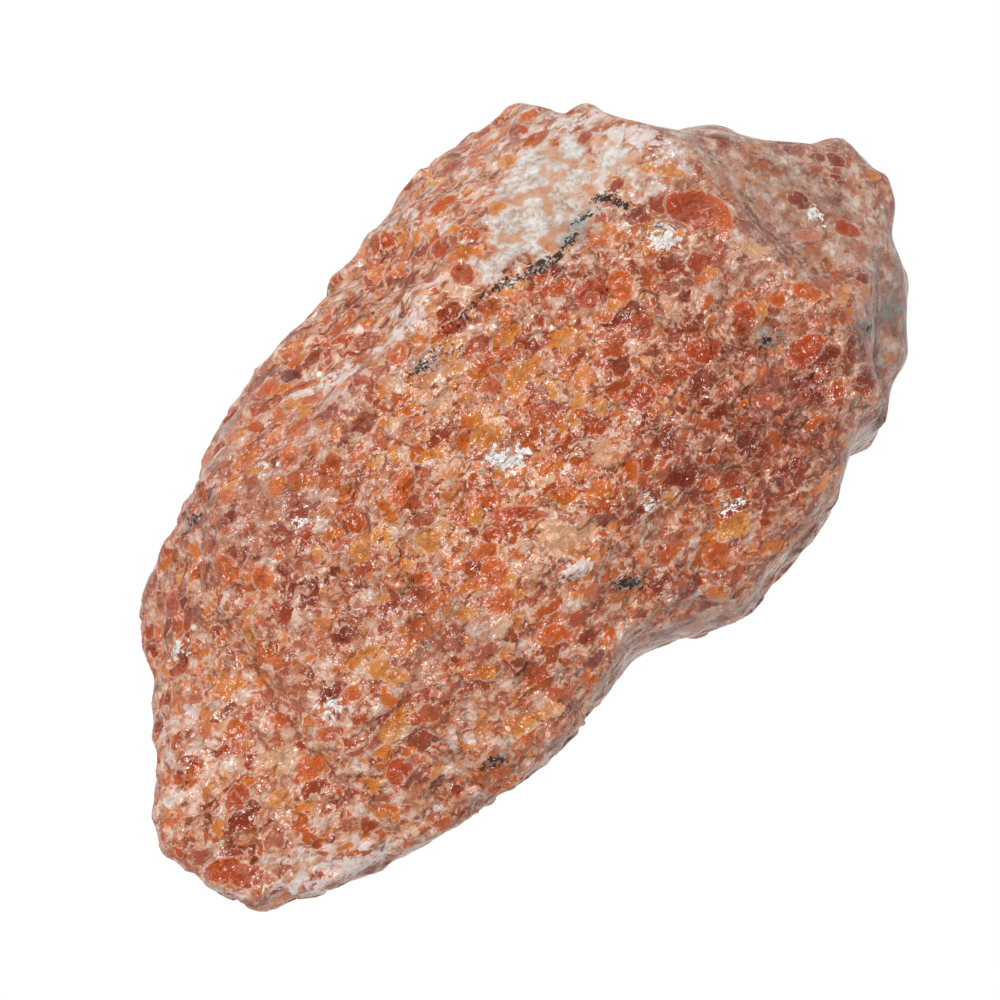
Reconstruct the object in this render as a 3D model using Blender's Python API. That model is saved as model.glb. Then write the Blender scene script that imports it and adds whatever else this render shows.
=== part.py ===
"""A rough chunk of sunstone: one piece of broken orange feldspar rock that lies on a flat break.

The chunk starts as a block with the stone's outline. Flat breaks then take off its top, its edges
and the lower parts of its sides, spalls chip ledges out of it, and a round hollow is cut where the
outline pulls in. Last, its skin is roughened with swells, cleavage facets and pits, and its foot is
cut flat. Everything is one closed solid, because the stone is one piece.

X runs along the stone, Y across it and Z up. The origin is the middle of the footprint's box, on
the surface that the stone lies on.
"""

import math
from typing import NamedTuple

import bmesh
import bpy
from mathutils import Matrix, Vector, noise

MM = 0.001

# Driving sizes in millimetres
CROWN_HEIGHT = 29.0
GIRDLE_HEIGHT = 13.0
BLOCK_TOP = 40.0
BLOCK_BOTTOM = -8.0

# How far the sides lean along X and Y for each millimetre of height
LEAN = Vector((-0.19, -0.187))

# Points closer than this to a cut are on it
SNAP = 0.001

# The stone's outline at the height of its girdle, anticlockwise from the blunt right end
OUTLINE = (
    (43.0, -5.5), (46.0, -1.5), (42.5, 1.0), (39.5, 2.5), (37.0, 5.5), (35.5, 9.5),
    (32.5, 11.5), (30.0, 15.5), (29.5, 19.0), (27.0, 20.5), (25.0, 25.0), (18.0, 25.5),
    (11.0, 26.5), (5.0, 24.5), (-3.5, 24.0), (-11.0, 23.0), (-17.5, 21.0), (-24.0, 18.0),
    (-28.0, 17.5), (-33.0, 15.0), (-36.5, 9.0), (-41.0, 5.5), (-45.5, 1.0), (-47.0, -2.0),
    (-46.0, -7.5), (-45.0, -11.5), (-40.0, -14.5), (-35.5, -16.5), (-30.5, -18.5),
    (-21.5, -20.5), (-15.0, -20.0), (-9.0, -20.0), (-5.0, -19.5), (-1.5, -21.0),
    (3.5, -24.0), (6.0, -24.5), (12.0, -25.0), (15.5, -24.5), (18.5, -22.5), (22.0, -21.0),
    (27.0, -22.0), (30.5, -19.0), (36.0, -18.5), (38.5, -14.5), (39.0, -9.0),
)


class Break(NamedTuple):
    """A flat break: everything on its outer side has come off the block."""

    name: str
    through: tuple
    faces_deg: float
    tilt_deg: float

    def normal(self):
        turn = math.radians(self.faces_deg)
        tilt = math.radians(self.tilt_deg)
        return Vector((
            math.sin(tilt) * math.cos(turn),
            math.sin(tilt) * math.sin(turn),
            math.cos(tilt),
        ))


UPPER_BREAKS = (
    Break("crown", (8.0, -2.0, CROWN_HEIGHT), 190.0, 5.0),
    Break("crown over the blunt end", (24.0, 4.0, 28.6), 30.0, 8.0),
    Break("long slope at the tail", (-20.0, 1.0, 26.0), 186.0, 19.0),
    Break("tail corner", (-37.0, -11.0, 18.6), 235.0, 30.0),
    Break("back slope, blunt half", (13.0, 14.5, 27.4), 84.0, 34.0),
    Break("back slope, tail half", (-14.0, 12.5, 26.4), 104.0, 33.0),
    Break("back rim, blunt half", (13.0, 22.5, 20.5), 90.0, 57.0),
    Break("back rim, tail half", (-14.0, 20.0, 20.0), 106.0, 60.0),
    Break("back of the tail", (-30.0, 12.5, 19.5), 141.0, 47.0),
    Break("quartz face", (16.0, 8.0, 29.0), 80.0, 19.0),
    Break("red face", (22.0, -7.0, 28.2), 288.0, 15.0),
    Break("shoulder, blunt end", (29.0, -15.0, 24.5), 318.0, 52.0),
    Break("wall, blunt end", (31.5, -17.5, 19.0), 319.0, 76.0),
    Break("front shoulder", (9.0, -20.5, 25.0), 269.0, 48.0),
    Break("front wall", (10.0, -23.6, 16.0), 271.0, 84.0),
    Break("front shoulder of the tail", (-22.0, -15.0, 23.0), 262.0, 36.0),
    Break("front wall of the tail", (-23.0, -20.6, 14.0), 262.0, 79.0),
    Break("blunt end", (43.5, -3.0, 15.0), 352.0, 68.0),
)

UNDER_BREAKS = (
    Break("under the back", (0.0, 24.5, 9.0), 90.0, 127.0),
    Break("under the back of the tail", (-30.0, 16.0, 8.5), 128.0, 131.0),
    Break("under the tail", (-46.5, -4.0, 8.0), 184.0, 134.0),
    Break("under the tail corner", (-41.0, -14.5, 7.0), 238.0, 126.0),
    Break("under the front of the tail", (-20.0, -20.5, 6.0), 264.0, 117.0),
    Break("under the front", (10.0, -23.5, 7.0), 276.0, 121.0),
    Break("under the blunt wall", (33.0, -18.5, 8.0), 322.0, 127.0),
    Break("under the blunt end", (44.0, -3.0, 9.5), 2.0, 137.0),
    Break("under the quartz", (33.0, 15.0, 8.5), 44.0, 128.0),
)


class Spall(NamedTuple):
    """A chip out of the rock: a slab with one corner edge bedded in it, turned about Z and tipped.

    The slab's sides lean out by the flare for each millimetre of its height.
    """

    name: str
    corner: tuple
    size: tuple
    turn_deg: float
    tip_deg: float
    roll_deg: float
    flare: float


SPALLS = (
    Spall("beyond the quartz face", (29.5, 4.5, 24.9), (30.0, 30.0, 9.0), -10.0, 27.0, -3.0, 0.5),
    Spall("blunt wall", (28.6, -17.3, 15.5), (20.0, 18.0, 14.0), -42.0, 16.0, 8.0, 0.25),
    Spall("back slope", (-4.0, 14.5, 24.6), (46.0, 20.0, 7.0), 96.0, 38.0, 4.0, 1.2),
    Spall("tail", (-31.0, -3.0, 20.5), (30.0, 24.0, 7.0), 172.0, 17.0, -5.0, 1.0),
)

# A round hollow in the front, where the outline pulls in
HOLLOW_CENTRE = (-5.5, -33.5)
HOLLOW_RADIUS = 13.0
HOLLOW_TIP_DEG = -9.0
HOLLOW_SIDES = 40

# Broken skin in millimetres
SKIN_GRID = 0.8
SKIN_TRIANGLES = 9400
SWELL_SIZE, SWELL_HEIGHT = 15.0, 1.0
COARSE_FACET_SIZE, COARSE_FACET_SLOPE = 8.0, 0.20
FINE_FACET_SIZE, FINE_FACET_SLOPE = 3.2, 0.24
PIT_SIZE, PIT_DEPTH = 5.0, 0.6

# Only cells whose own number, from -1 to 1, is below this have a pit, which ends within the cell
PIT_NUMBER_BELOW = -0.56
PIT_REACH = 0.42

# The noise is read far from its origin, and neighbouring cells read numbers that are far apart
SKIN_SHIFT = Vector((31.7, 12.9, 47.3))
CELL_STRIDE = 7.0
CELL_MIDDLE = Vector((0.5, 0.5, 0.5))

STONE_COLOUR = (0.46, 0.16, 0.085, 1.0)
STONE_ROUGHNESS = 0.5


def clear_scene():
    for obj in list(bpy.data.objects):
        bpy.data.objects.remove(obj)


def object_from(shape, name, placing):
    """Turns the bmesh into an object of triangles, with the placing already in its points."""
    bmesh.ops.triangulate(shape, faces=shape.faces)
    mesh = bpy.data.meshes.new(name)
    shape.to_mesh(mesh)
    shape.free()
    mesh.transform(placing)
    obj = bpy.data.objects.new(name, mesh)
    bpy.context.scene.collection.objects.link(obj)
    return obj


def outward(index):
    """The outline's outward direction at one of its points."""
    before = Vector(OUTLINE[index - 1])
    after = Vector(OUTLINE[(index + 1) % len(OUTLINE)])
    along = (after - before).normalized()
    return Vector((along.y, -along.x))


def ring_at(height):
    """The outline at one height. Each side keeps or draws in by the lean, and never bulges out."""
    ring = []
    for index, point in enumerate(OUTLINE):
        out = outward(index)
        draw_in = min(0.0, LEAN.dot(out) * (height - GIRDLE_HEIGHT))
        ring.append((*(Vector(point) + out * draw_in), height))
    return ring


def make_block():
    """The outline's three rings, skinned and closed."""
    shape = bmesh.new()
    rings = [
        [shape.verts.new(point) for point in ring_at(height)]
        for height in (BLOCK_BOTTOM, GIRDLE_HEIGHT, BLOCK_TOP)
    ]
    count = len(OUTLINE)
    for lower, upper in zip(rings, rings[1:]):
        for index in range(count):
            after = (index + 1) % count
            shape.faces.new((lower[index], lower[after], upper[after], upper[index]))
    shape.faces.new(reversed(rings[0]))
    shape.faces.new(rings[-1])
    return object_from(shape, "sunstone", Matrix())


def bake_modifiers(obj):
    """Makes the object's evaluated shape its own mesh and drops the modifiers."""
    graph = bpy.context.evaluated_depsgraph_get()
    mesh = bpy.data.meshes.new_from_object(obj.evaluated_get(graph))
    obj.modifiers.clear()
    obj.data = mesh


def chip_off(obj, cutter):
    """Takes the cutter's shape out of the stone at once, after which the cutter is done with."""
    cut = obj.modifiers.new(cutter.name, "BOOLEAN")
    cut.operation = "DIFFERENCE"
    cut.object = cutter
    cut.solver = "EXACT"
    bake_modifiers(obj)
    bpy.data.objects.remove(cutter)


def break_off(obj, point, normal):
    """Cuts along the plane, takes away everything on its outer side and closes the cut."""
    shape = bmesh.new()
    shape.from_mesh(obj.data)
    bmesh.ops.bisect_plane(
        shape,
        geom=shape.verts[:] + shape.edges[:] + shape.faces[:],
        plane_co=point,
        plane_no=normal,
        dist=SNAP,
        clear_outer=True,
    )
    bmesh.ops.dissolve_degenerate(shape, dist=SNAP, edges=shape.edges)
    rim = [edge for edge in shape.edges if edge.is_boundary]
    bmesh.ops.triangle_fill(shape, use_beauty=True, use_dissolve=False, edges=rim, normal=normal)
    bmesh.ops.triangulate(shape, faces=shape.faces)
    bmesh.ops.recalc_face_normals(shape, faces=shape.faces)
    shape.to_mesh(obj.data)
    shape.free()


def slab_for(spall):
    """The spall's slab, with the middle of one lower edge at the corner that it is bedded by."""
    shape = bmesh.new()
    bmesh.ops.create_cube(shape, size=1.0)
    bmesh.ops.translate(shape, verts=shape.verts, vec=(0.5, 0.0, 0.5))
    bmesh.ops.scale(shape, verts=shape.verts, vec=spall.size)
    for vertex in shape.verts:
        lean = spall.flare * vertex.co.z
        vertex.co.y += math.copysign(lean, vertex.co.y)
        vertex.co.x += math.copysign(lean, vertex.co.x - spall.size[0] / 2)
    turn = Matrix.Rotation(math.radians(spall.turn_deg), 4, "Z")
    tip = Matrix.Rotation(math.radians(spall.tip_deg), 4, "Y")
    roll = Matrix.Rotation(math.radians(spall.roll_deg), 4, "X")
    return object_from(shape, spall.name, Matrix.Translation(spall.corner) @ turn @ tip @ roll)


def hollow_cutter():
    shape = bmesh.new()
    bmesh.ops.create_cone(
        shape,
        cap_ends=True,
        segments=HOLLOW_SIDES,
        radius1=HOLLOW_RADIUS,
        radius2=HOLLOW_RADIUS,
        depth=2.0 * BLOCK_TOP,
    )
    tip = Matrix.Rotation(math.radians(HOLLOW_TIP_DEG), 4, "X")
    middle = Vector((*HOLLOW_CENTRE, GIRDLE_HEIGHT))
    return object_from(shape, "front hollow", Matrix.Translation(middle) @ tip)


def remesh(obj):
    """An even skin over the whole block, fine enough to carry the facets."""
    grid = obj.modifiers.new("even skin", "REMESH")
    grid.mode = "VOXEL"
    grid.voxel_size = SKIN_GRID
    bake_modifiers(obj)


def facet_height(point, size, slope):
    """How far a cleavage facet stands out: each cell of the rock has a flat face of its own tilt."""
    place = (point + SKIN_SHIFT) / size
    _, seeds = noise.voronoi(place)
    tilt = noise.cell_vector(seeds[0] * CELL_STRIDE) - CELL_MIDDLE
    return (place - seeds[0]).dot(tilt) * slope * size


def pit_depth(point):
    """A few cells of the skin have lost a grain."""
    place = (point - SKIN_SHIFT) / PIT_SIZE
    distances, seeds = noise.voronoi(place)
    if noise.cell(seeds[0] * CELL_STRIDE) > PIT_NUMBER_BELOW:
        return 0.0
    return PIT_DEPTH * max(0.0, 1.0 - distances[0] / PIT_REACH)


def roughen(obj):
    """Moves the skin along its normals by swells, facets and pits."""
    mesh = obj.data
    normals = [vertex.normal.copy() for vertex in mesh.vertices]
    for vertex, normal in zip(mesh.vertices, normals):
        place = vertex.co.copy()
        out = SWELL_HEIGHT * noise.noise((place + SKIN_SHIFT) / SWELL_SIZE)
        out += facet_height(place, COARSE_FACET_SIZE, COARSE_FACET_SLOPE)
        out += facet_height(place, FINE_FACET_SIZE, FINE_FACET_SLOPE)
        out -= pit_depth(place)
        vertex.co = place + normal * out
    mesh.update()


def thin_out(obj):
    """Fewer, larger triangles where the skin is flat."""
    triangles = sum(len(face.vertices) - 2 for face in obj.data.polygons)
    fewer = obj.modifiers.new("fewer triangles", "DECIMATE")
    fewer.ratio = SKIN_TRIANGLES / triangles
    bake_modifiers(obj)


def settle(obj):
    """Flattens the foot, puts the origin in the middle of the box and makes it metres."""
    break_off(obj, Vector(), Vector((0.0, 0.0, -1.0)))
    shape = bmesh.new()
    shape.from_mesh(obj.data)
    low = [min(vertex.co[axis] for vertex in shape.verts) for axis in range(3)]
    high = [max(vertex.co[axis] for vertex in shape.verts) for axis in range(3)]
    middle = Vector(((low[0] + high[0]) / 2, (low[1] + high[1]) / 2, low[2]))
    bmesh.ops.translate(shape, verts=shape.verts, vec=-middle)
    bmesh.ops.scale(shape, verts=shape.verts, vec=(MM, MM, MM))
    bmesh.ops.triangulate(shape, faces=shape.faces)
    shape.to_mesh(obj.data)
    shape.free()


def stone_material():
    material = bpy.data.materials.new("broken orange feldspar")
    material.use_nodes = True
    shader = material.node_tree.nodes["Principled BSDF"]
    shader.inputs["Base Color"].default_value = STONE_COLOUR
    shader.inputs["Roughness"].default_value = STONE_ROUGHNESS
    shader.inputs["Metallic"].default_value = 0.0
    material.diffuse_color = STONE_COLOUR
    return material


def main():
    clear_scene()
    stone = make_block()
    for one in UPPER_BREAKS + UNDER_BREAKS:
        break_off(stone, Vector(one.through), one.normal())
    remesh(stone)
    for spall in SPALLS:
        chip_off(stone, slab_for(spall))
    chip_off(stone, hollow_cutter())
    remesh(stone)
    roughen(stone)
    thin_out(stone)
    settle(stone)
    stone.data.materials.clear()
    stone.data.materials.append(stone_material())
    stone.data.update()


main()
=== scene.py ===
"""Looks of a rough sunstone chunk: broken feldspar grains in a pale matrix, on a pale studio floor."""

import logging
import math
from dataclasses import dataclass
from enum import Enum
from typing import NamedTuple

import bmesh
import bpy
import numpy as np
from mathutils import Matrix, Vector
from mathutils.bvhtree import BVHTree

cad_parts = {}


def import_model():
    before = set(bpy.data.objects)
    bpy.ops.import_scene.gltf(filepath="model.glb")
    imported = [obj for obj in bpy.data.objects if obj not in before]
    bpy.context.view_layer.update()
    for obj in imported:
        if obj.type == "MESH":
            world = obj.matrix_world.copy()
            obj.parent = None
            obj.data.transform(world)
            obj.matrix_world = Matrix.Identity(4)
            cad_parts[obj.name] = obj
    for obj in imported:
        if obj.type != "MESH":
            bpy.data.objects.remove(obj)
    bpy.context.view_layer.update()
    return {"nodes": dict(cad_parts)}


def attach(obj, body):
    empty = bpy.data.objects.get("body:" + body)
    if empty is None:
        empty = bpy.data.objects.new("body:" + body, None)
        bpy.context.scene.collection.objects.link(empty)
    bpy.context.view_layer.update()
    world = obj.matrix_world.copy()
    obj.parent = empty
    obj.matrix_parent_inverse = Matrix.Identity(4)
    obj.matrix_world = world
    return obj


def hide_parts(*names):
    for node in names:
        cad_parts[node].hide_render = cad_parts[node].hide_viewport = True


LOG = logging.getLogger("sunstone")
MM = 0.001

# How far from a mark's rim its reach and tint are followed, how sharply one mark's tint gives way to the
# next one's, the weight of no mark at all, and the distance of a mark that misses the stone.
FAR_MM = 3.0
TINT_EDGE = 6.0
NO_WEIGHT = 1e-9
MISSED = 1e3

Colour = tuple[float, float, float, float]
Socket = bpy.types.NodeSocket
Value = Socket | float | tuple | Vector


def srgb(red: int, green: int, blue: int) -> Colour:
    """Turns a colour of 0 to 255 a channel, as a screen shows it, into the linear one of a shader.

    Args:
        red: red, 0 to 255.
        green: green, 0 to 255.
        blue: blue, 0 to 255.

    Returns:
        The linear colour, opaque.
    """
    linear = [
        part / 12.92 if part <= 0.04045 else ((part + 0.055) / 1.055) ** 2.4
        for part in (red / 255, green / 255, blue / 255)
    ]
    return (linear[0], linear[1], linear[2], 1.0)


class Layer(Enum):
    """The kinds of marking. The value is the name of the mesh attribute that holds one."""

    # The next layer makes the matrix paler; its negative mark on the right face is painted shade, redder
    # where the face turns from the light.
    CRUSHED_AND_SHADE = "crushed"
    # The next layer turns grains amber; its negative marks are painted shade, darker brick on faces and
    # slopes turned from the light.
    WARM_AND_SHADE = "warm"
    HAZE = "haze"
    # The next layer is the beige of weathered parts; on the right and front walls it is also painted shade.
    CRUST_AND_SHADE = "crust_and_shade"
    TEAL = "teal"
    WORN = "worn"
    QUARTZ = "quartz"
    DARK = "dark"
    MILK = "milk"
    # This layer holds the painted glints: near-white patches painted where the light would reflect.
    GLINT = "glint"
    GRAIN = "grain"


SOFT_LAYERS = (Layer.CRUSHED_AND_SHADE, Layer.WARM_AND_SHADE, Layer.HAZE, Layer.CRUST_AND_SHADE, Layer.TEAL, Layer.WORN)
CRISP_LAYERS = (Layer.QUARTZ, Layer.DARK, Layer.MILK, Layer.GLINT, Layer.GRAIN)
BED = "bed_mm"
BENT = "bent_mm"
CURLED = "curled_mm"
PATCHES = "patches"
CLOUDS = "clouds"
COARSE_CHANCE = "coarse_chance"
COARSE_LEAN = "coarse_lean"
COARSE_RIM = "coarse_rim_mm"
GRAIN_TINT = "grain_tint"
RELIEF = "relief"


class Tint(Enum):
    """The colours of the grains that are placed one by one."""

    BRICK = srgb(140, 56, 36)
    RED = srgb(188, 74, 38)
    ORANGE = srgb(212, 98, 38)
    AMBER = srgb(218, 134, 62)
    PEACH = srgb(228, 172, 132)
    SALMON = srgb(206, 128, 100)


class Mark(NamedTuple):
    """A listed marking: what it is, where the photograph shows it, and its size.

    amount is its strength in a soft layer, and unused in a crisp one.
    """

    name: str
    layer: Layer
    pixel: tuple[float, float]
    size_mm: tuple[float, float]
    turn_deg: float = 0.0
    amount: float = 1.0
    tint: Tint = Tint.ORANGE


ZONES = (
    Mark("pale top end", Layer.CRUSHED_AND_SHADE, (590, 145), (9, 5), 0, 0.5),
    Mark("pale strip down the back slope", Layer.CRUSHED_AND_SHADE, (330, 380), (4, 9), -55, 0.16),
    Mark("pale middle", Layer.CRUSHED_AND_SHADE, (575, 560), (5, 2.5), 20, 0.1),
    Mark("pale tail", Layer.CRUSHED_AND_SHADE, (330, 860), (6, 3), 25, 0.4),
    Mark("pale left edge", Layer.CRUSHED_AND_SHADE, (180, 760), (4, 7), 0, 0.12),
    # Painted shade: less pale matrix, so redder, on the face turned from the light.
    Mark("red right face", Layer.CRUSHED_AND_SHADE, (775, 405), (9, 6), 30, -0.48),
    Mark("rich middle", Layer.CRUSHED_AND_SHADE, (550, 470), (17, 10), 40, -0.24),
    Mark("orange upper left", Layer.WARM_AND_SHADE, (420, 400), (7, 7), 0, 0.55),
    Mark("orange crown", Layer.WARM_AND_SHADE, (560, 440), (9, 7), 20, 0.4),
    # Painted shade: darker brick on the face turned from the light.
    Mark("brick right face", Layer.WARM_AND_SHADE, (790, 420), (10, 7), 40, -0.8),
    # Painted shade: a little darker brick on the lower middle, which slopes from the light.
    Mark("brick lower middle", Layer.WARM_AND_SHADE, (470, 690), (8, 6), 30, -0.1),
    Mark("amber by the notch", Layer.WARM_AND_SHADE, (540, 560), (8, 5), 20, 0.4),
    Mark("mauve above the middle", Layer.HAZE, (540, 380), (5, 4), 20, 0.5),
    Mark("mauve lower middle", Layer.HAZE, (430, 640), (5, 4), 30, 0.5),
    Mark("mauve left", Layer.HAZE, (330, 620), (5, 3), 20, 0.35),
    Mark("mauve end of the tail", Layer.HAZE, (200, 720), (4, 4), 0, 0.4),
    Mark("mauve right ledge", Layer.HAZE, (730, 290), (4, 4), 0, 0.6),
    Mark("mauve upper left", Layer.HAZE, (260, 510), (7, 5), 50, 0.9),
    Mark("mauve back slope", Layer.HAZE, (345, 410), (6, 4), 40, 0.5),
    # Painted shade: the two dim marks darken the left and back slopes.
    Mark("dim left", Layer.WARM_AND_SHADE, (250, 530), (7, 6), 0, -0.4),
    Mark("dim back slope", Layer.WARM_AND_SHADE, (330, 410), (7, 4), 45, -0.3),
    Mark("rich lower middle", Layer.CRUSHED_AND_SHADE, (510, 570), (6, 6), 0, -0.1),
    Mark("orange left", Layer.WARM_AND_SHADE, (250, 630), (4, 3), 0, 0.35),
    Mark("orange lower left", Layer.WARM_AND_SHADE, (300, 780), (5, 4), 0, 0.3),
    # Painted shade: darker brick where the top turns towards the right face.
    Mark("brick upper right", Layer.WARM_AND_SHADE, (690, 400), (8, 6), 0, -0.2),
    Mark("pale left", Layer.CRUSHED_AND_SHADE, (230, 720), (7, 4), 0, 0.14),
    Mark("pale upper left", Layer.CRUSHED_AND_SHADE, (400, 320), (6, 3), 40, 0.2),
    Mark("beige beyond the quartz", Layer.CRUST_AND_SHADE, (800, 200), (11, 8), -20, 1.0),
    # Painted shade as well as crust: the beige on the right and front walls stands in for their shade.
    Mark("beige right wall", Layer.CRUST_AND_SHADE, (885, 370), (5, 11), -20, 0.9),
    Mark("beige front wall", Layer.CRUST_AND_SHADE, (700, 625), (9, 2.5), 25, 0.5),
    Mark("pale top end, weathered", Layer.CRUST_AND_SHADE, (600, 135), (9, 3), -10, 0.5),
    Mark("warm top end", Layer.WARM_AND_SHADE, (560, 130), (8, 4), 0, 0.5),
    Mark("warm crest", Layer.WARM_AND_SHADE, (460, 180), (8, 5), 45, 0.6),
    Mark("pale crest", Layer.CRUSHED_AND_SHADE, (460, 190), (8, 5), 45, 0.1),
    Mark("worn fold, top", Layer.WORN, (712, 145), (4, 4), 0, 1.6),
    Mark("worn fold, upper", Layer.WORN, (745, 185), (4, 4), 0, 1.6),
    Mark("worn fold, lower", Layer.WORN, (780, 225), (4, 4), 0, 1.6),
    Mark("worn fold, foot", Layer.WORN, (820, 262), (4, 4), 0, 1.6),
    Mark("worn right edge", Layer.WORN, (872, 320), (3, 5), 0, 0.8),
    Mark("teal under the seam", Layer.TEAL, (576, 232), (1.5, 1.5), 35, 0.9),
    Mark("teal on the right ledge", Layer.TEAL, (770, 336), (1.6, 1.4), 30, 1.1),
    Mark("teal on the right edge", Layer.TEAL, (868, 326), (2.2, 1.4), 20, 1.3),
    Mark("teal at the very edge", Layer.TEAL, (894, 312), (2.4, 1.6), 0, 1.3),
    Mark("grey round the speckled knot", Layer.TEAL, (626, 583), (1.9, 0.9), 0, 0.8),
    Mark("grey round the streak", Layer.TEAL, (428, 360), (2.0, 0.8), 35, 0.6),
    Mark("grey fleck, middle", Layer.TEAL, (450, 606), (1.0, 0.7), 50, 0.7),
    Mark("grey fleck, lower", Layer.TEAL, (424, 645), (1.6, 0.6), 45, 0.8),
    Mark("grey by the shoulder", Layer.TEAL, (492, 764), (1.5, 0.9), 20, 0.6),
    Mark("grey on the left edge", Layer.TEAL, (196, 520), (2.0, 0.7), 15, 0.7),
)

SPOTS = (
    Mark("quartz patch", Layer.QUARTZ, (548, 200), (5.2, 7.0), -12),
    Mark("quartz rim", Layer.QUARTZ, (625, 165), (3.5, 1.6), -50),
    Mark("quartz tongue", Layer.QUARTZ, (500, 258), (3.0, 1.8), 30),
    Mark("seam, lower end", Layer.DARK, (462, 320), (1.3, 0.08), 52),
    Mark("seam, lower bend", Layer.DARK, (484, 297), (1.6, 0.1), 38),
    Mark("seam, middle", Layer.DARK, (510, 281), (1.6, 0.36), 28),
    Mark("seam, thick part", Layer.DARK, (540, 267), (1.8, 0.56), 30),
    Mark("seam, upper middle", Layer.DARK, (558, 254), (0.8, 0.3), 50),
    Mark("seam, lower knot", Layer.DARK, (568, 242), (0.8, 0.36), 60),
    Mark("seam, upper knot", Layer.DARK, (584, 218), (0.9, 0.3), 45),
    Mark("seam, upper end", Layer.DARK, (604, 198), (1.1, 0.4), 15),
    Mark("seam, last speckle", Layer.DARK, (622, 203), (0.6, 0.3), -20),
    Mark("knot on the right edge", Layer.DARK, (872, 328), (0.7, 0.4), 20),
    Mark("knot on the right ledge", Layer.DARK, (766, 341), (0.5, 0.25), 30),
    Mark("speckled knot", Layer.DARK, (630, 583), (1.3, 0.5), 0),
    Mark("grey streak", Layer.DARK, (424, 366), (1.0, 0.25), 25),
    Mark("dark fleck by the shoulder", Layer.DARK, (494, 762), (0.8, 0.35), 20),
    Mark("dark fleck on the left edge", Layer.DARK, (192, 520), (0.7, 0.25), 15),
    Mark("white by the back slope", Layer.MILK, (408, 320), (2.2, 1.2), 30),
    Mark("white on the back slope", Layer.MILK, (344, 372), (1.8, 1.0), 40),
    Mark("white under the amber", Layer.MILK, (575, 570), (1.6, 0.8), 0),
    Mark("white tail", Layer.MILK, (345, 868), (3.6, 1.2), 22),
    Mark("white top rim", Layer.MILK, (575, 122), (2.0, 1.0), 0),
    Mark("white top rim, right", Layer.MILK, (640, 136), (3.2, 1.4), -20),
    Mark("white tail tip", Layer.MILK, (290, 885), (1.6, 0.7), 10),
    # Painted glints: near-white patches that stand in for the light's reflection off cleavage faces.
    Mark("painted glint by the red grain", Layer.GLINT, (661, 236), (1.3, 1.4), 0),
    Mark("painted glint in the middle", Layer.GLINT, (508, 458), (1.7, 1.1), 10),
    Mark("painted glint, far right", Layer.GLINT, (817, 214), (0.5, 0.8), 0),
    Mark("painted glint, left", Layer.GLINT, (303, 519), (0.8, 0.7), 0),
    Mark("painted glint, upper left", Layer.GLINT, (268, 466), (0.9, 0.6), 0),
    Mark("painted glint, left edge", Layer.GLINT, (176, 652), (0.9, 0.5), 0),
    Mark("painted glint, lower left", Layer.GLINT, (332, 706), (0.8, 1.1), -20),
    Mark("painted glint, right face", Layer.GLINT, (728, 507), (0.8, 0.5), 20),
    Mark("painted glint, middle right", Layer.GLINT, (650, 500), (0.9, 0.6), -20),
)

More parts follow.
